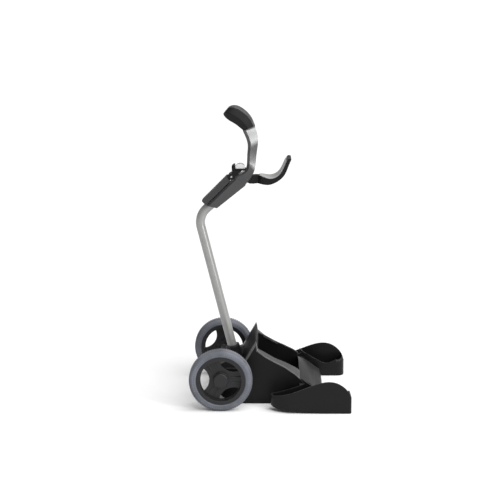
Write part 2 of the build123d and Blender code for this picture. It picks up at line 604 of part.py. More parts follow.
def cradle_hook():
    """Forward hook that the upper bag leans in, narrow at its tongue and wide beyond."""
    tip = Edge.make_three_point_arc((208, 0, 773), (216, 0, CRADLE_TIP_Z), (223, 0, 778))
    root = line([(104, 696), (90, 696.5), (90, 722.5), (112, 724.5)])
    outline = [curve(CRADLE_TOP), tip, curve(CRADLE_LOW), *root.edges()]
    hook = side_prism(outline, -CRADLE_HALF, CRADLE_HALF)
    hook = hook & cradle_plan(0)
    tongue = rod(CRADLE_PIVOT, 12, -TONGUE_HALF, TONGUE_HALF) + side_prism(
        [(82, 700), (92, 696.5), (92, 722.5), (82, 724)], -TONGUE_HALF, TONGUE_HALF)
    return hook + tongue - rod(CRADLE_PIVOT, PIN_R + RUNNING_GAP, -40, 40)


def cradle_pad():
    """Soft liner stuck to the hollow of the hook, from the flare to just below the tip."""
    sunk = [(122, 720)] + [(x + 1, z - 1) for x, z in CRADLE_TOP[1:-1]] + [(209, 771.5)]
    edges = [curve(PAD_TOP), curve(sunk), line([PAD_TOP[0], sunk[0]]), line([PAD_TOP[-1], sunk[-1]])]
    pad = side_prism(edges, -CRADLE_HALF, CRADLE_HALF) & cradle_plan(PAD_INSET)
    return pad - cradle_hook()


# ---- screws ----
def screw(place, direction, head_r, shank_r, shank_length):
    """Round head with its shank pointing along the direction."""
    head = bar(place, direction, head_r, SCREW_HEAD_DEPTH)
    shank = bar(place + direction * SCREW_HEAD_DEPTH, direction, shank_r, shank_length)
    return (head + shank).solid()


def head_screws():
    """Three screws that close the two head shells, driven from the left."""
    inward = Vector(0, -1, 0)
    places = [Vector(x, SCREW_SEAT + SCREW_HEAD_DEPTH, z) for x, z in HEAD_SCREWS]
    return Compound([screw(place, inward, HEAD_SCREW_HEAD_R, HEAD_SCREW_R, HEAD_SCREW_LENGTH)
                     for place in places])


def floor_screws():
    up = Vector(0, 0, 1)
    sunk = FLOOR_LOW + 0.2
    places = [Vector(x, y, sunk) for x, y in FLOOR_SCREWS]
    return Compound([screw(place, up, FLOOR_SCREW_HEAD_R, SCREW_SHANK_R, FLOOR_TOP - sunk - SCREW_HEAD_DEPTH)
                     for place in places])


# ---- write every piece ----
left_wall, right_wall = bin_wall(1), bin_wall(-1)
export("left_cup_wall", left_wall)
export("right_cup_wall", right_wall)
export("rear_panel", rear_panel())
export("base_tray", bin_floor())
export("left_rim_trim", rim_trim(1))
export("right_rim_trim", rim_trim(-1))
export("hood", hood())
export("left_foot", foot(1))
export("right_foot", foot(-1))
export("axle_beam", axle_beam())
export("socket_sleeve", socket_sleeve())
export("axle_rod", axle_rod())
export("tray_screws", floor_screws())
for name, make in (("axle_spacer", axle_spacer), ("axle_cap", axle_end), ("tyre", tyre),
                   ("hub_bushes", bushes), ("hub_cap", hub_cap)):
    left, right = mirrored(make)
    export(f"left_{name}", left)
    export(f"right_{name}", right)
export("left_wheel_disc", wheel_disc(30))
export("right_wheel_disc", mirror(wheel_disc(60), Plane.XZ))
export("column_tube", column_tube())
export("column_bottom_plug", tube_plug(TUBE_BOTTOM, LEAN_DIR))
export("column_top_plug", tube_plug(TUBE_TOP, HEAD_DIR * -1))
shell = head_shell()
export("left_head_shell", shell & box(-200, 200, 0, 60, 500, 1000))
export("right_head_shell", shell & box(-200, 200, -60, 0, 500, 1000))
export("head_screws", head_screws())
export("head_cover", head_cover())
export("guide_sleeve", guide_sleeve())
inlay = grip_body(0.0, INLAY_DEPTH)
export("grip_inlay", inlay - shell)
grip_solids = (grip_body(INLAY_DEPTH, 1.0) - inlay - shell).solids()
export("handle_grip", grip_solids.sort_by(SortBy.VOLUME)[-1])
export("clamp_lever", clamp_lever())
export("lever_pin", pin(LEVER_PIVOT, 24.5))
export("button_collar", button_collar())
export("release_button", release_button())
export("cradle_hook", cradle_hook())
export("cradle_pad", cradle_pad())
export("cradle_pin", pin(CRADLE_PIVOT, 21.5))
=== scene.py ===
import json
from math import cos, pi, radians, sin

import bmesh
import bpy
from mathutils import Matrix, Vector


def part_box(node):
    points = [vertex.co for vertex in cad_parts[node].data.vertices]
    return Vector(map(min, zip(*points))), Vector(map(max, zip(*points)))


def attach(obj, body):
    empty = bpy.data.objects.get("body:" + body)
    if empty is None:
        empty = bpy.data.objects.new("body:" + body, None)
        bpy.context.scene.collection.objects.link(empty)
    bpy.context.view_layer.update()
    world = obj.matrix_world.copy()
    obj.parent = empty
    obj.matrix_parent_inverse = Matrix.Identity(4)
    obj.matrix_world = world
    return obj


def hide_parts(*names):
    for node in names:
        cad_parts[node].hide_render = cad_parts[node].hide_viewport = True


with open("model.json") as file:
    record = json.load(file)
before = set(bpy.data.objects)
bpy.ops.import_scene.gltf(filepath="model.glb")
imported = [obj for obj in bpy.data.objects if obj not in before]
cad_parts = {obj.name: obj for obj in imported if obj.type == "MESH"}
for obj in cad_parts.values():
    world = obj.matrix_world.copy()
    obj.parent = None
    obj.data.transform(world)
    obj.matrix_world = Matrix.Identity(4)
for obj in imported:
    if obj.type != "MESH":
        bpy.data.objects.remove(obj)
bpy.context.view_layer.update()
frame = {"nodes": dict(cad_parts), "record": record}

# A push cart for a golf bag: moulded base with a bag cup and two feet, two wheels, a bent tube
# column, and a head with handle, clamp lever, push button and lined bag cradle.
# X runs forward from the wheels to the feet, Y to the left, Z up; everything is in metres.

nodes = frame["nodes"]
bodies = frame["record"]["behaviour"]["bodies"]
body_of = {node: body for body, members in bodies.items() for node in members}
collection = bpy.context.scene.collection


# ---- Camera ----
# It stands four metres out on the cart's right, opposite its middle and well above the handle,
# and looks across and a little down.
view_place = Vector((-0.02257, -4.0049, 1.3426))
view_turn, view_drop, view_roll = 0.014, 0.206, -0.003
sensor_width, focal_length = 36, 92.98
forward = Vector((-sin(view_turn) * cos(view_drop), cos(view_turn) * cos(view_drop), -sin(view_drop)))
level = Vector((cos(view_turn), sin(view_turn), 0))
right = level * cos(view_roll) + level.cross(forward) * sin(view_roll)
camera_data = bpy.data.cameras.new("camera")
camera_data.sensor_width = sensor_width
camera_data.lens = focal_length
camera = bpy.data.objects.new("camera", camera_data)
camera_frame = Matrix((right, right.cross(forward), -forward)).transposed().to_4x4()
camera_frame.translation = view_place
camera.matrix_world = camera_frame
collection.objects.link(camera)
bpy.context.scene.camera = camera


# ---- Floor and light ----
# A plain pale floor under an even sky, which the camera sees as white. A broad soft lamp high on
# the front right is the main light. A soft box on the same side, as high as the head, gives the
# glossy head its bright front face.
floor_half = 300
floor_pale, floor_roughness = 0.9, 0.95
floor_mesh = bpy.data.meshes.new("floor")
floor_mesh.from_pydata([(-floor_half, -floor_half, 0), (floor_half, -floor_half, 0),
                        (floor_half, floor_half, 0), (-floor_half, floor_half, 0)], [], [(0, 1, 2, 3)])
floor = bpy.data.objects.new("floor", floor_mesh)
collection.objects.link(floor)
floor_paint = bpy.data.materials.new("pale_floor")
floor_paint.use_nodes = True
floor_shader = floor_paint.node_tree.nodes["Principled BSDF"]
floor_shader.inputs["Base Color"].default_value = (floor_pale, floor_pale, floor_pale, 1)
floor_shader.inputs["Roughness"].default_value = floor_roughness
floor_mesh.materials.append(floor_paint)

sky = bpy.data.worlds.new("studio")
sky.use_nodes = True
sky_light, sky_seen = 0.38, 1.0
background = sky.node_tree.nodes["Background"]
background.inputs["Color"].default_value = (1, 1, 1, 1)
ray = sky.node_tree.nodes.new("ShaderNodeLightPath")
strength = sky.node_tree.nodes.new("ShaderNodeMapRange")
strength.inputs["To Min"].default_value = sky_light
strength.inputs["To Max"].default_value = sky_seen
sky.node_tree.links.new(ray.outputs["Is Camera Ray"], strength.inputs["Value"])
sky.node_tree.links.new(strength.outputs["Result"], background.inputs["Strength"])
bpy.context.scene.world = sky
bpy.context.scene.view_settings.view_transform = "Standard"


def aimed_lamp(name, kind, place, aim, energy):
    lamp = bpy.data.lights.new(name, kind)
    lamp.energy = energy
    holder = bpy.data.objects.new(name, lamp)
    holder.location = place
    holder.rotation_euler = (Vector(aim) - Vector(place)).to_track_quat("-Z", "Y").to_euler()
    holder.visible_camera = False
    collection.objects.link(holder)
    return lamp


main_lamp = aimed_lamp("main_lamp", "SUN", place=(2.2, -1.6, 4.0), aim=(0, 0, 0.3), energy=3.3)
main_lamp.angle = radians(75)
head_lamp = aimed_lamp("head_lamp", "AREA", place=(1.476, -1.398, 0.80), aim=(-0.05, 0, 0.80), energy=14)
head_lamp.shape = "RECTANGLE"
head_lamp.size = 0.32
head_lamp.size_y = 0.60


# ---- Cup walls, rear panel, tray and beam: the black mouldings of the base ----
# Polypropylene mouldings screwed together from below. Their edges have the radius of the mould, and the
# rolled edge strips are paler: partly rubbed by use, partly a painted highlight along the rims; the faces
# have a fine grain and a little dust on top.
weld_distance = 2e-5
roll_steps = 3


def settle(piece, node):
    """Rides a piece on its CAD node's body, in the node's place, and hides the node."""
    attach(piece, body_of[node])
    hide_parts(node)


def merged_mesh(node, name, flat_angle=0.6):
    """A copy of a CAD node's mesh with its triangles joined into one skin and flats cleaned."""
    mesh = bpy.data.meshes.new(name)
    shape = bmesh.new()
    shape.from_mesh(nodes[node].data)
    bmesh.ops.remove_doubles(shape, verts=shape.verts, dist=weld_distance)
    bmesh.ops.dissolve_limit(shape, angle_limit=radians(flat_angle), verts=shape.verts, edges=shape.edges)
    for face in shape.faces:
        face.smooth = True
        face.material_index = 0
    shape.to_mesh(mesh)
    shape.free()
    return mesh


def new_piece(name, mesh, *materials):
    piece = bpy.data.objects.new(name, mesh)
    collection.objects.link(piece)
    mesh.materials.clear()
    for material in materials:
        mesh.materials.append(material)
    return piece


def moulding(node, name, radius, face_finish, edge_finish, crease=30):
    """The CAD piece with its sharp edges rolled over, the rolled strip in the edge finish, which on most
    pieces is paler: rubbed wear and a painted highlight.
    """
    piece = new_piece(name, merged_mesh(node, name), face_finish, edge_finish)
    roll = piece.modifiers.new("mould_radius", "BEVEL")
    roll.width = radius
    roll.segments = roll_steps
    roll.limit_method = "ANGLE"
    roll.angle_limit = radians(crease)
    roll.material = 1
    even = piece.modifiers.new("even_faces", "WEIGHTED_NORMAL")
    even.keep_sharp = True
    settle(piece, node)
    return piece


def new_group(name, inputs, outputs):
    """An empty shader node group with named float sockets, and the sockets of its two ends."""
    group = bpy.data.node_groups.new(name, "ShaderNodeTree")
    for label, value in inputs.items():
        socket = group.interface.new_socket(label, in_out="INPUT", socket_type="NodeSocketFloat")
        socket.default_value = value
    for label in outputs:
        group.interface.new_socket(label, in_out="OUTPUT", socket_type="NodeSocketFloat")
    return group, group.nodes.new("NodeGroupInput").outputs, group.nodes.new("NodeGroupOutput").inputs


def plug(tree, socket, value):
    """Links an output to a socket, or sets the socket to a plain number or colour."""
    if isinstance(value, bpy.types.NodeSocket):
        tree.links.new(value, socket)
    elif isinstance(value, tuple) and socket.type == "RGBA":
        socket.default_value = (*value, 1)
    else:
        socket.default_value = value


def noise(tree, vector, scale, detail, roughness=0.5):
    texture = tree.nodes.new("ShaderNodeTexNoise")
    for label, value in (("Vector", vector), ("Scale", scale), ("Detail", detail), ("Roughness", roughness)):
        plug(tree, texture.inputs[label], value)
    return texture.outputs["Fac"]


def maths(tree, operation, first, second):
    node = tree.nodes.new("ShaderNodeMath")
    node.operation = operation
    plug(tree, node.inputs[0], first)
    plug(tree, node.inputs[1], second)
    return node.outputs[0]


def spread(tree, value, low, high, out_low=0.0, out_high=1.0):
    """Maps low..high to out_low..out_high with a soft shoulder at both ends."""
    node = tree.nodes.new("ShaderNodeMapRange")
    node.interpolation_type = "SMOOTHSTEP"
    for label, amount in (("Value", value), ("From Min", low), ("From Max", high),
                          ("To Min", out_low), ("To Max", out_high)):
        plug(tree, node.inputs[label], amount)
    return node.outputs["Result"]


def mixed(tree, factor, first, second):
    node = tree.nodes.new("ShaderNodeMix")
    node.data_type = "RGBA"
    for label, value in (("Factor_Float", factor), ("A_Color", first), ("B_Color", second)):
        plug(tree, next(s for s in node.inputs if s.identifier == label), value)
    return next(s for s in node.outputs if s.identifier == "Result_Color")


def place_group(tree, group, **values):
    node = tree.nodes.new("ShaderNodeGroup")
    node.node_tree = group
    for label, value in values.items():
        plug(tree, node.inputs[label], value)
    return node.outputs


# Mould grain: pebbles of a chosen size, and a slow mottle that shades colour and gloss.
grain, ends, outs = new_group("mould_grain", {"Pebble Size": 0.001, "Mottle Size": 0.09},
                              ["Height", "Mottle"])
place = grain.nodes.new("ShaderNodeTexCoord").outputs["Object"]
pebbles = noise(grain, place, maths(grain, "DIVIDE", 1.0, ends["Pebble Size"]), detail=2.0)
mottle = noise(grain, place, maths(grain, "DIVIDE", 1.0, ends["Mottle Size"]), detail=5.0, roughness=0.6)
plug(grain, outs["Height"], pebbles)
plug(grain, outs["Mottle"], spread(grain, mottle, low=0.3, high=0.7))

# Rubbing: uneven patches where an edge is worn.
rubbing, ends, outs = new_group("rubbed_patches", {"Patch Size": 0.02, "Amount": 0.6}, ["Rubbed"])
place = rubbing.nodes.new("ShaderNodeTexCoord").outputs["Object"]
patch_scale = maths(rubbing, "DIVIDE", 1.0, ends["Patch Size"])
patches = spread(rubbing, noise(rubbing, place, patch_scale, detail=6.0, roughness=0.65), low=0.38, high=0.6)
plug(rubbing, outs["Rubbed"], maths(rubbing, "MULTIPLY", patches, ends["Amount"]))

# Scuffs: thin scratches, in some zones only.
scuffing, ends, outs = new_group("fine_scuffs", {"Amount": 0.3}, ["Scuff"])
place = scuffing.nodes.new("ShaderNodeTexCoord").outputs["Object"]
streaks = scuffing.nodes.new("ShaderNodeMapping")
streaks.inputs["Rotation"].default_value = (0.4, 0.9, 0.2)
streaks.inputs["Scale"].default_value = (9, 260, 260)
plug(scuffing, streaks.inputs["Vector"], place)
lines = spread(scuffing, noise(scuffing, streaks.outputs[0], scale=1.0, detail=3.0), low=0.62, high=0.74)
zones = spread(scuffing, noise(scuffing, place, scale=16.0, detail=3.0), low=0.5, high=0.7)
plug(scuffing, outs["Scuff"],
     maths(scuffing, "MULTIPLY", maths(scuffing, "MULTIPLY", lines, zones), ends["Amount"]))

# Dust: settles on the faces that look up.
dusting, ends, outs = new_group("settled_dust", {"Amount": 0.1}, ["Dust"])
upward = dusting.nodes.new("ShaderNodeSeparateXYZ")
plug(dusting, upward.inputs[0], dusting.nodes.new("ShaderNodeNewGeometry").outputs["Normal"])
place = dusting.nodes.new("ShaderNodeTexCoord").outputs["Object"]
cloud = spread(dusting, noise(dusting, place, scale=35.0, detail=8.0, roughness=0.7), low=0.35, high=0.7)
on_top = maths(dusting, "MULTIPLY", spread(dusting, upward.outputs["Z"], low=0.3, high=1.0), cloud)
plug(dusting, outs["Dust"], maths(dusting, "MULTIPLY", on_top, ends["Amount"]))


dust_colour = (0.30, 0.29, 0.27)
scuff_gain, scuff_lift, scuff_dulling = 2.2, 0.01, 0.3
polish_below, polish_above = 0.04, 0.05
coat_roughness = 0.2


def plastic(name, colour, roughness, pebble=0.0011, depth=0.00003, dust=0.06, rub=None, rub_amount=0.7,
            scuff=0.25, mottle=0.10, gloss=0.0, specular=0.16):
    """Moulded plastic or rubber: mottled colour, grain, fine scuffs, dust, and rubbed patches."""
    material = bpy.data.materials.new(name)
    material.use_nodes = True
    tree = material.node_tree
    shader = tree.nodes["Principled BSDF"]
    skin = place_group(tree, grain, **{"Pebble Size": pebble})
    deep = tuple(channel * (1 - mottle) for channel in colour)
    pale = tuple(channel * (1 + mottle) for channel in colour)
    tint = mixed(tree, skin["Mottle"], deep, pale)
    scratch = place_group(tree, scuffing, Amount=scuff)["Scuff"]
    tint = mixed(tree, scratch, tint, tuple(channel * scuff_gain + scuff_lift for channel in colour))
    if rub:
        tint = mixed(tree, place_group(tree, rubbing, Amount=rub_amount)["Rubbed"], tint, rub)
    tint = mixed(tree, place_group(tree, dusting, Amount=dust)["Dust"], tint, dust_colour)
    plug(tree, shader.inputs["Base Color"], tint)
    polish = spread(tree, skin["Mottle"], 0.0, 1.0, roughness - polish_below, roughness + polish_above)
    dulled = maths(tree, "MULTIPLY", scratch, scuff_dulling)
    plug(tree, shader.inputs["Roughness"], maths(tree, "ADD", polish, dulled))
    shader.inputs["Specular IOR Level"].default_value = specular
    shader.inputs["Coat Weight"].default_value = gloss
    shader.inputs["Coat Roughness"].default_value = coat_roughness
    bump = tree.nodes.new("ShaderNodeBump")
    bump.inputs["Distance"].default_value = depth
    plug(tree, bump.inputs["Height"], skin["Height"])
    plug(tree, shader.inputs["Normal"], bump.outputs["Normal"])
    return material


base_black = plastic("base_black", (0.0045, 0.0045, 0.0047), 0.42)
panel_black = plastic("panel_black", (0.0035, 0.0035, 0.0037), 0.50, specular=0.07)
# Paler finish for the rolled edges: partly rubbed wear, partly a painted highlight along the rims.
base_edge_wear_and_highlight = plastic("base_black_rubbed", (0.009, 0.009, 0.0095), 0.34, rub=(0.05, 0.05, 0.052),
                      specular=0.3)
beam_grey = plastic("beam_grey", (0.014, 0.014, 0.015), 0.40, specular=0.25)
beam_edge_wear_and_highlight = plastic("beam_grey_rubbed", (0.018, 0.018, 0.019), 0.34, rub=(0.07, 0.07, 0.07), specular=0.3)
for side in ("left", "right"):
    moulding(f"{side}_cup_wall", f"{side}_cup_wall_moulding", 0.0010, base_black, base_edge_wear_and_highlight)
moulding("rear_panel", "rear_panel_moulding", 0.0009, panel_black, base_edge_wear_and_highlight)
moulding("base_tray", "base_tray_moulding", 0.0008, base_black, base_edge_wear_and_highlight)
moulding("axle_beam", "axle_beam_moulding", 0.002, beam_grey, beam_edge_wear_and_highlight)


# ---- Rim trims and hood ----
# Satin grey mouldings that cap the cup walls and close the front of the cup. The hood is one
# crowned shell with two lower wings, clipped down onto the tray.
rim_grey = plastic("rim_grey", (0.058, 0.058, 0.060), 0.36, dust=0.04, specular=0.35)
# Paler finish for the rolled edges of trims and hood: partly rubbed wear, partly a painted highlight along
# the rims.
rim_edge_wear_and_highlight = plastic("rim_grey_rubbed", (0.12, 0.12, 0.122), 0.30, rub=(0.22, 0.22, 0.22), specular=0.4)
for side in ("left", "right"):
    moulding(f"{side}_rim_trim", f"{side}_rim_trim_moulding", 0.0009, rim_grey, rim_edge_wear_and_highlight)
hood_grey = plastic("hood_grey", (0.026, 0.026, 0.027), 0.36, dust=0.03, specular=0.30)
moulding("hood", "hood_moulding", 0.0014, hood_grey, rim_edge_wear_and_highlight)


# ---- Feet ----
# Hollow black polypropylene feet, open at the top, with a rolled rim along the low inner side.
# They are glossier than the cup because their mould is polished.
foot_black = plastic("foot_black", (0.0065, 0.0065, 0.0067), 0.36, pebble=0.0014)
# Paler finish for the rolled edges of the feet: partly rubbed wear, partly a painted highlight along the
# rims.
foot_edge_wear_and_highlight = plastic("foot_black_rubbed", (0.022, 0.022, 0.0225), 0.30, rub=(0.10, 0.10, 0.10),
                      pebble=0.0014, specular=0.3)
for side in ("left", "right"):
    moulding(f"{side}_foot", f"{side}_foot_moulding", 0.0016, foot_black, foot_edge_wear_and_highlight)


# ---- Axle, spacers and spring caps ----
# Bright zinc-plated steel: a drawn rod, turned spacers and pressed caps, with drawing lines
# along the rod and dull patches where the plating has aged.
line_shade, line_depth = 0.90, 0.000006
age_dulling = 0.4


def metal(name, colour, roughness, metallic, streak_scale, tarnish, tarnish_amount):
    """Plated or painted metal: lines along the axis with the low scale, and duller aged patches."""
    material = bpy.data.materials.new(name)
    material.use_nodes = True
    tree = material.node_tree
    shader = tree.nodes["Principled BSDF"]
    place = tree.nodes.new("ShaderNodeTexCoord").outputs["Object"]
    stretch = tree.nodes.new("ShaderNodeMapping")
    stretch.inputs["Scale"].default_value = streak_scale
    plug(tree, stretch.inputs["Vector"], place)
    drawn = noise(tree, stretch.outputs[0], scale=1.0, detail=4.0)
    spots = spread(tree, noise(tree, place, scale=40.0, detail=6.0, roughness=0.6), low=0.45, high=0.72)
    aged = maths(tree, "MULTIPLY", spots, tarnish_amount)
    dark = tuple(channel * line_shade for channel in colour)
    tint = mixed(tree, drawn, dark, colour)
    plug(tree, shader.inputs["Base Color"], mixed(tree, aged, tint, tarnish))
    polish = spread(tree, drawn, 0.3, 0.7, roughness - polish_below, roughness + polish_above)
    dulled = maths(tree, "MULTIPLY", aged, age_dulling)
    plug(tree, shader.inputs["Roughness"], maths(tree, "ADD", polish, dulled))
    shader.inputs["Metallic"].default_value = metallic
    bump = tree.nodes.new("ShaderNodeBump")
    bump.inputs["Distance"].default_value = line_depth
    plug(tree, bump.inputs["Height"], drawn)
    plug(tree, shader.inputs["Normal"], bump.outputs["Normal"])
    return material


zinc = metal("zinc_plate", (0.50, 0.50, 0.51), roughness=0.30, metallic=1.0, streak_scale=(900, 12, 900),
             tarnish=(0.28, 0.27, 0.25), tarnish_amount=0.5)
moulding("axle_rod", "axle_rod_bar", 0.0006, zinc, zinc)
for side in ("left", "right"):
    moulding(f"{side}_axle_spacer", f"{side}_axle_spacer_tube", 0.0004, zinc, zinc)
    moulding(f"{side}_axle_cap", f"{side}_axle_cap_pressing", 0.0003, zinc, zinc)


# ---- Screws ----
# Six screws hold the tray and three close the head: pan heads with a six-sided socket, all the
# same shape at two sizes. Each group of screws is one piece.
def new_tree(name, **sizes):
    """A geometry tree with float or material inputs; returns the tree, its inputs and its end."""
    tree = bpy.data.node_groups.new(name, "GeometryNodeTree")
    tree.interface.new_socket("Geometry", in_out="INPUT", socket_type="NodeSocketGeometry")
    for label, kind in sizes.items():
        tree.interface.new_socket(label, in_out="INPUT", socket_type=kind)
    tree.interface.new_socket("Geometry", in_out="OUTPUT", socket_type="NodeSocketGeometry")
    return tree, tree.nodes.new("NodeGroupInput").outputs, tree.nodes.new("NodeGroupOutput").inputs


def geo(tree, kind, inputs=None, **settings):
    """One geometry node with its settings and inputs; returns its first output."""
    node = tree.nodes.new(kind)
    for label, value in settings.items():
        setattr(node, label, value)
    for label, value in (inputs or {}).items():
        plug(tree, node.inputs[label], value)
    return node.outputs[0]


def grown(name, mesh, tree, **values):
    """Runs a geometry tree over a mesh and returns a plain mesh, with no modifier left."""
    seed = bpy.data.objects.new(name + "_seed", mesh)
    collection.objects.link(seed)
    modifier = seed.modifiers.new("grow", "NODES")
    modifier.node_group = tree
    for item in tree.interface.items_tree:
        label = item.name.replace(" ", "_")
        if item.in_out == "INPUT" and label in values:
            modifier[item.identifier] = values[label]
    done = seed.evaluated_get(bpy.context.evaluated_depsgraph_get())
    result = bpy.data.meshes.new_from_object(done)
    result.name = name
    bpy.data.objects.remove(seed)
    return result


screw_tree, ends, outs = new_tree("pan_screws", **{
    "Head Radius": "NodeSocketFloat", "Head Height": "NodeSocketFloat", "Socket Radius": "NodeSocketFloat",
    "Facing": "NodeSocketVector", "Finish": "NodeSocketMaterial"})
head_sides, socket_sides = 24, 6
barrel = geo(screw_tree, "GeometryNodeMeshCylinder",
             {"Vertices": head_sides, "Radius": ends["Head Radius"], "Depth": ends["Head Height"]})
hexagon = geo(screw_tree, "GeometryNodeMeshCylinder",
              {"Vertices": socket_sides, "Radius": ends["Socket Radius"], "Depth": ends["Head Height"]})
half_height = maths(screw_tree, "MULTIPLY", ends["Head Height"], 0.5)
lift = geo(screw_tree, "ShaderNodeCombineXYZ", {"Z": half_height})
bit = geo(screw_tree, "GeometryNodeTransform", {"Geometry": hexagon, "Translation": lift})
cut = geo(screw_tree, "GeometryNodeMeshBoolean", {"Mesh 1": barrel, "Mesh 2": bit}, operation="DIFFERENCE")
facing = geo(screw_tree, "FunctionNodeAlignRotationToVector", {"Vector": ends["Facing"]}, axis="Z")
heads = geo(screw_tree, "GeometryNodeInstanceOnPoints",
            {"Points": ends["Geometry"], "Instance": cut, "Rotation": facing})
solid = geo(screw_tree, "GeometryNodeRealizeInstances", {"Geometry": heads})
plug(screw_tree, outs["Geometry"],
     geo(screw_tree, "GeometryNodeSetMaterial", {"Geometry": solid, "Material": ends["Finish"]}))


def islands(node):
    """Lowest and highest corner of each separate solid in a CAD node."""
    shape = bmesh.new()
    shape.from_mesh(nodes[node].data)
    bmesh.ops.remove_doubles(shape, verts=shape.verts, dist=weld_distance)
    boxes = []
    left = set(shape.verts)
    while left:
        group, queue = [], [left.pop()]
        while queue:
            vert = queue.pop()
            group.append(vert.co.copy())
            for edge in vert.link_edges:
                other = edge.other_vert(vert)
                if other in left:
                    left.remove(other)
                    queue.append(other)
        boxes.append([Vector(pick(co[i] for co in group) for i in range(3)) for pick in (min, max)])
    shape.free()
    return sorted(boxes, key=lambda corners: tuple(corners[0]))


black_screw = metal("black_screw", (0.10, 0.10, 0.105), roughness=0.38, metallic=0.9,
                    streak_scale=(300, 300, 300), tarnish=(0.2, 0.19, 0.18), tarnish_amount=0.4)
screw_height = 0.0019
socket_share = 0.5
for node, facing_way, radius in (("tray_screws", (0, 0, -1), 0.0048), ("head_screws", (0, 1, 0), 0.0035)):
    way = Vector(facing_way)
    middles = []
    for low, high in islands(node):
        middle = (low + high) / 2
        face = max(high.dot(way), low.dot(way))
        middles.append(middle - way * (middle.dot(way) - face + screw_height / 2))
    points = bpy.data.meshes.new(f"{node}_places")
    points.from_pydata(middles, [], [])
    mesh = grown(f"{node}_heads", points, screw_tree, Head_Radius=radius, Head_Height=screw_height,
                 Socket_Radius=radius * socket_share, Facing=facing_way, Finish=black_screw)
    screws = bpy.data.objects.new(f"{node}_heads", mesh)
    collection.objects.link(screws)
    settle(screws, node)


# ---- Tyres ----
# Grey foamed-rubber rings shrunk onto the rims, moulded with a fine tread: three rows of small
# blocks round the crown and a ring of short bars on each side wall, all worn paler than the ring.
wheel_r = (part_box("right_tyre")[1].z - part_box("right_tyre")[0].z) / 2
tyre_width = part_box("right_tyre")[1].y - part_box("right_tyre")[0].y
bead_r = 0.078
tread_height = 0.0008
tyre_steps = 144
seam_distance = 1e-6
tread_count = 84
row_gap = 0.0068
block_size = (tread_height * 2, 0.0052, 0.0048)
bars_r = 0.0885
bar_inset = 0.0006
bar_size = (0.0050, 0.0016, 0.0016)

tread_tree, ends, outs = new_tree("tread_ring", **{
    "Count": "NodeSocketInt", "Crown Radius": "NodeSocketFloat", "Row Gap": "NodeSocketFloat",
    "Block": "NodeSocketVector", "Bar Radius": "NodeSocketFloat", "Bar Depth": "NodeSocketFloat",
    "Bar": "NodeSocketVector", "Finish": "NodeSocketMaterial", "Worn Finish": "NodeSocketMaterial"})


def block_ring(radius, count, block, shift, turn):
    """Blocks set round a circle about Z, each with its X side outwards."""
    circle = geo(tread_tree, "GeometryNodeMeshCircle", {"Vertices": count, "Radius": radius})
    outward = geo(tread_tree, "FunctionNodeAlignRotationToVector",
                  {"Vector": geo(tread_tree, "GeometryNodeInputPosition")}, axis="X")
    lug = geo(tread_tree, "GeometryNodeMeshCube", {"Size": block})
    ring = geo(tread_tree, "GeometryNodeInstanceOnPoints",
               {"Points": circle, "Instance": lug, "Rotation": outward})
    lift = geo(tread_tree, "ShaderNodeCombineXYZ", {"Z": shift})
    return geo(tread_tree, "GeometryNodeTransform",
               {"Geometry": ring, "Translation": lift, "Rotation": (0, 0, turn)})


join = tread_tree.nodes.new("GeometryNodeJoinGeometry")
minus_gap = maths(tread_tree, "MULTIPLY", ends["Row Gap"], -1.0)
minus_depth = maths(tread_tree, "MULTIPLY", ends["Bar Depth"], -1.0)
half_pitch = pi / tread_count
for ring in (block_ring(ends["Crown Radius"], ends["Count"], ends["Block"], 0.0, 0.0),
             block_ring(ends["Crown Radius"], ends["Count"], ends["Block"], ends["Row Gap"], half_pitch),
             block_ring(ends["Crown Radius"], ends["Count"], ends["Block"], minus_gap, half_pitch),
             block_ring(ends["Bar Radius"], ends["Count"], ends["Bar"], ends["Bar Depth"], 0.0),
             block_ring(ends["Bar Radius"], ends["Count"], ends["Bar"], minus_depth, 0.0)):
    plug(tread_tree, join.inputs[0], ring)
lugs = geo(tread_tree, "GeometryNodeRealizeInstances", {"Geometry": join.outputs[0]})
whole = tread_tree.nodes.new("GeometryNodeJoinGeometry")
for part, finish in ((ends["Geometry"], ends["Finish"]), (lugs, ends["Worn Finish"])):
    plug(tread_tree, whole.inputs[0],
         geo(tread_tree, "GeometryNodeSetMaterial", {"Geometry": part, "Material": finish}))
plug(tread_tree, outs["Geometry"], whole.outputs[0])

tyre_rubber = plastic("tyre_rubber", (0.122, 0.128, 0.150), 0.78, pebble=0.0024, depth=0.00022, dust=0.16,
                      scuff=0.35, mottle=0.22, specular=0.2)
tyre_worn = plastic("tyre_worn", (0.190, 0.196, 0.216), 0.85, pebble=0.0012, depth=0.0001, dust=0.25,
                    scuff=0.35, mottle=0.25, specular=0.15)


def tyre_ring(name):
    """The tyre's section, given as radius and depth from bead to crown, turned about Z."""
    half = tyre_width / 2
    crown = wheel_r - tread_height
    section = [(bead_r, -half + 0.003), (bead_r + 0.002, -half + 0.0006), (0.083, -half),
               (0.0848, -half + 0.0009), (0.0865, -half + 0.0003), (0.0905, -half + 0.0009),
               (0.0940, -half + 0.0030), (0.0968, -half + 0.0065), (0.0984, -half + 0.0105),
               (crown, -0.003)]
    section += [(radius, -depth) for radius, depth in section[::-1]]
    shape = bmesh.new()
    outline = [shape.verts.new((radius, 0, depth)) for radius, depth in section]
    edges = [shape.edges.new(pair) for pair in zip(outline, outline[1:] + outline[:1])]
    bmesh.ops.spin(shape, geom=outline + edges, cent=(0, 0, 0), axis=(0, 0, 1), angle=2 * pi,
                   steps=tyre_steps, use_merge=True)
    bmesh.ops.remove_doubles(shape, verts=shape.verts, dist=seam_distance)
    bmesh.ops.recalc_face_normals(shape, faces=shape.faces)
    for face in shape.faces:
        face.smooth = True
    mesh = bpy.data.meshes.new(name)
    shape.to_mesh(mesh)
    shape.free()
    return mesh


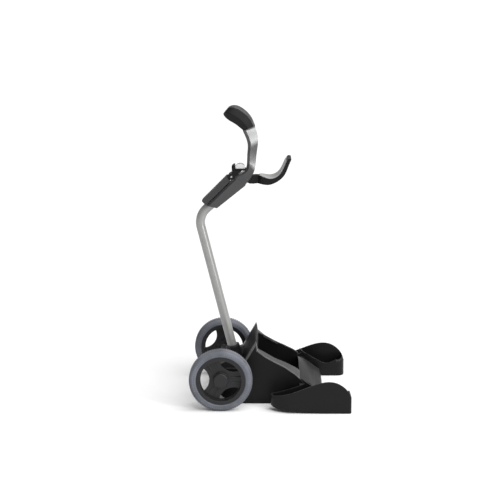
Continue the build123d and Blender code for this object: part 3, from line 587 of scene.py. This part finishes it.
for side in ("left", "right"):
    node = f"{side}_tyre"
    low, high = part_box(node)
    mesh = grown(f"{side}_tyre_tread", tyre_ring(f"{side}_tyre_ring"), tread_tree,
                 Count=tread_count, Crown_Radius=wheel_r - tread_height, Row_Gap=row_gap,
                 Block=block_size, Bar_Radius=bars_r, Bar_Depth=tyre_width / 2 - bar_inset, Bar=bar_size,
                 Finish=tyre_rubber, Worn_Finish=tyre_worn)
    mesh.transform(Matrix.Translation((low + high) / 2) @ Matrix.Rotation(pi / 2, 4, "X"))
    tyre = bpy.data.objects.new(f"{side}_tyre_tread", mesh)
    collection.objects.link(tyre)
    settle(tyre, node)


# ---- Wheel centres, bushes and hub caps ----
# Glass-filled nylon mouldings: a rim ring, a dished web with three windows, and a hub with
# flanged bushes. The cap snaps over the axle end.
wheel_black = plastic("wheel_black", (0.013, 0.013, 0.0145), 0.36, pebble=0.0012, specular=0.3)
# Paler finish for the rolled edges: partly rubbed wear, partly a painted highlight along the rims.
wheel_edge_wear_and_highlight = plastic("wheel_black_rubbed", (0.022, 0.022, 0.024), 0.32, rub=(0.09, 0.09, 0.095),
                       specular=0.35)
bush_grey = plastic("bush_grey", (0.045, 0.045, 0.048), 0.45)
for side in ("left", "right"):
    moulding(f"{side}_wheel_disc", f"{side}_wheel_disc_moulding", 0.0009, wheel_black, wheel_edge_wear_and_highlight)
    moulding(f"{side}_hub_cap", f"{side}_hub_cap_moulding", 0.0006, wheel_black, wheel_edge_wear_and_highlight)
    moulding(f"{side}_hub_bushes", f"{side}_hub_bush_pair", 0.0003, bush_grey, bush_grey)


# ---- Column ----
# One bent aluminium tube, painted silver, standing in a plastic sleeve pressed into the beam.
# Plugs close its two ends, and a second sleeve guides the head on it. The paint is part
# metallic, with faint drawing lines.
tube_silver = metal("tube_silver", (0.30, 0.30, 0.295), roughness=0.30, metallic=0.35,
                    streak_scale=(700, 700, 5), tarnish=(0.2, 0.2, 0.19), tarnish_amount=0.25)
tube_shader = tube_silver.node_tree.nodes["Principled BSDF"]
tube_shader.inputs["Sheen Weight"].default_value = 0.5
tube_shader.inputs["Sheen Roughness"].default_value = 0.35
moulding("column_tube", "column_tube_paint", 0.0004, tube_silver, tube_silver, crease=50)
liner_black = plastic("liner_black", (0.022, 0.022, 0.024), 0.42)
for node in ("socket_sleeve", "column_bottom_plug", "column_top_plug", "guide_sleeve"):
    moulding(node, f"{node}_moulding", 0.0007, liner_black, wheel_edge_wear_and_highlight)


# ---- Head shells and cover ----
# Two glossy graphite half shells meet on the centre line and make housing, clevis and handle
# arm; a black cover with the lever's ears sits on top of them.
head_graphite = plastic("head_graphite", (0.015, 0.0153, 0.017), 0.40, pebble=0.003, depth=0.00002,
                        dust=0.02, gloss=1.0, specular=0.2, scuff=0.15)
# Paler finish for the rolled edges of the shells: partly rubbed wear, partly a painted highlight along the
# rims.
head_edge_wear_and_highlight = plastic("head_graphite_rubbed", (0.026, 0.027, 0.030), 0.36, rub=(0.10, 0.10, 0.105),
                      dust=0.02, gloss=1.0, specular=0.2, rub_amount=0.4)
head_black = plastic("head_black", (0.006, 0.006, 0.0065), 0.34, dust=0.03)
# Paler finish for the rolled edges of the black parts: partly rubbed wear, partly a painted highlight along
# the rims.
head_black_rubbed = plastic("head_black_rubbed", (0.011, 0.011, 0.012), 0.30, rub=(0.06, 0.06, 0.062),
                            dust=0.03)
for side in ("left", "right"):
    moulding(f"{side}_head_shell", f"{side}_head_shell_moulding", 0.0010, head_graphite, head_edge_wear_and_highlight,
             crease=20)
moulding("head_cover", "head_cover_moulding", 0.0010, head_black, head_black_rubbed)


# ---- Grip ----
# Soft rubber moulded over the end of the arm, with a harder inlay strip let into its top.
# Voxel skin over the CAD shape, relaxed until its edges are as round as moulded rubber.
def relaxed(node, name, voxel, passes, finish):
    mesh = merged_mesh(node, name, flat_angle=0.01)
    draft = bpy.data.objects.new(name + "_draft", mesh)
    collection.objects.link(draft)
    skin = draft.modifiers.new("skin", "REMESH")
    skin.mode = "VOXEL"
    skin.voxel_size = voxel
    ease = draft.modifiers.new("ease", "SMOOTH")
    ease.factor = 0.6
    ease.iterations = passes
    done = draft.evaluated_get(bpy.context.evaluated_depsgraph_get())
    result = bpy.data.meshes.new_from_object(done)
    result.name = name
    bpy.data.objects.remove(draft)
    for face in result.polygons:
        face.use_smooth = True
    piece = new_piece(name, result, finish)
    settle(piece, node)


grip_rubber = plastic("grip_rubber", (0.0060, 0.0060, 0.0068), 0.55, pebble=0.0008, depth=0.00006, dust=0.03,
                      specular=0.20)
inlay_grey = plastic("inlay_grey", (0.020, 0.020, 0.022), 0.36, rub=(0.12, 0.12, 0.12), rub_amount=0.3,
                     specular=0.4)
relaxed("handle_grip", "handle_grip_rubber", 0.0013, 10, grip_rubber)
relaxed("grip_inlay", "grip_inlay_strip", 0.0009, 4, inlay_grey)


# ---- Clamp lever and the two pins ----
# A glass-filled nylon lever that lies over the tube; lifting it frees the head on the column.
# Its back and edges are painted near black as painted shade, and its flanks are a paler grey. Its pin is a
# plated steel rod, and the cradle's pin is a blackened one.
lever_grey = plastic("lever_grey", (0.030, 0.030, 0.032), 0.32, dust=0.02, specular=0.35)
lever_black = plastic("lever_black", (0.0045, 0.0045, 0.005), 0.40, dust=0.01, specular=0.10)
lever = moulding("clamp_lever", "clamp_lever_moulding", 0.0024, lever_grey, lever_black, crease=25)
# Faces that look up and to the rear take the near-black finish: painted shade on the lever's back.
painted_shade_way = Vector((-1, 0, 1)).normalized()
painted_shade_facing = 0.8
for face in lever.data.polygons:
    if face.normal.dot(painted_shade_way) > painted_shade_facing:
        face.material_index = 1
moulding("lever_pin", "lever_pin_rod", 0.0004, zinc, zinc)
moulding("cradle_pin", "cradle_pin_rod", 0.0004, black_screw, black_screw)


# ---- Button and bezel ----
# A pale grey push button with a domed top, in a black bezel with a raised lip behind it.
button_grey = plastic("button_grey", (0.60, 0.60, 0.605), 0.22, pebble=0.002, depth=0.00001, dust=0.03,
                      gloss=0.6, scuff=0.2, mottle=0.03)
moulding("release_button", "release_button_moulding", 0.0012, button_grey, button_grey, crease=25)
moulding("button_collar", "button_collar_moulding", 0.0010, head_black, head_black_rubbed)


# ---- Bag cradle ----
# A black nylon hook that folds up on its pin, lined with a pale soft rubber pad.
cradle_black = plastic("cradle_black", (0.0065, 0.0065, 0.007), 0.36, dust=0.03, specular=0.18)
moulding("cradle_hook", "cradle_hook_moulding", 0.0020, cradle_black, head_black_rubbed, crease=28)
pad_grey = plastic("pad_grey", (0.42, 0.42, 0.415), 0.68, pebble=0.0013, depth=0.00009, dust=0.10,
                   mottle=0.06, rub=(0.33, 0.33, 0.32), rub_amount=0.35)
relaxed("cradle_pad", "cradle_pad_rubber", 0.0008, 5, pad_grey)
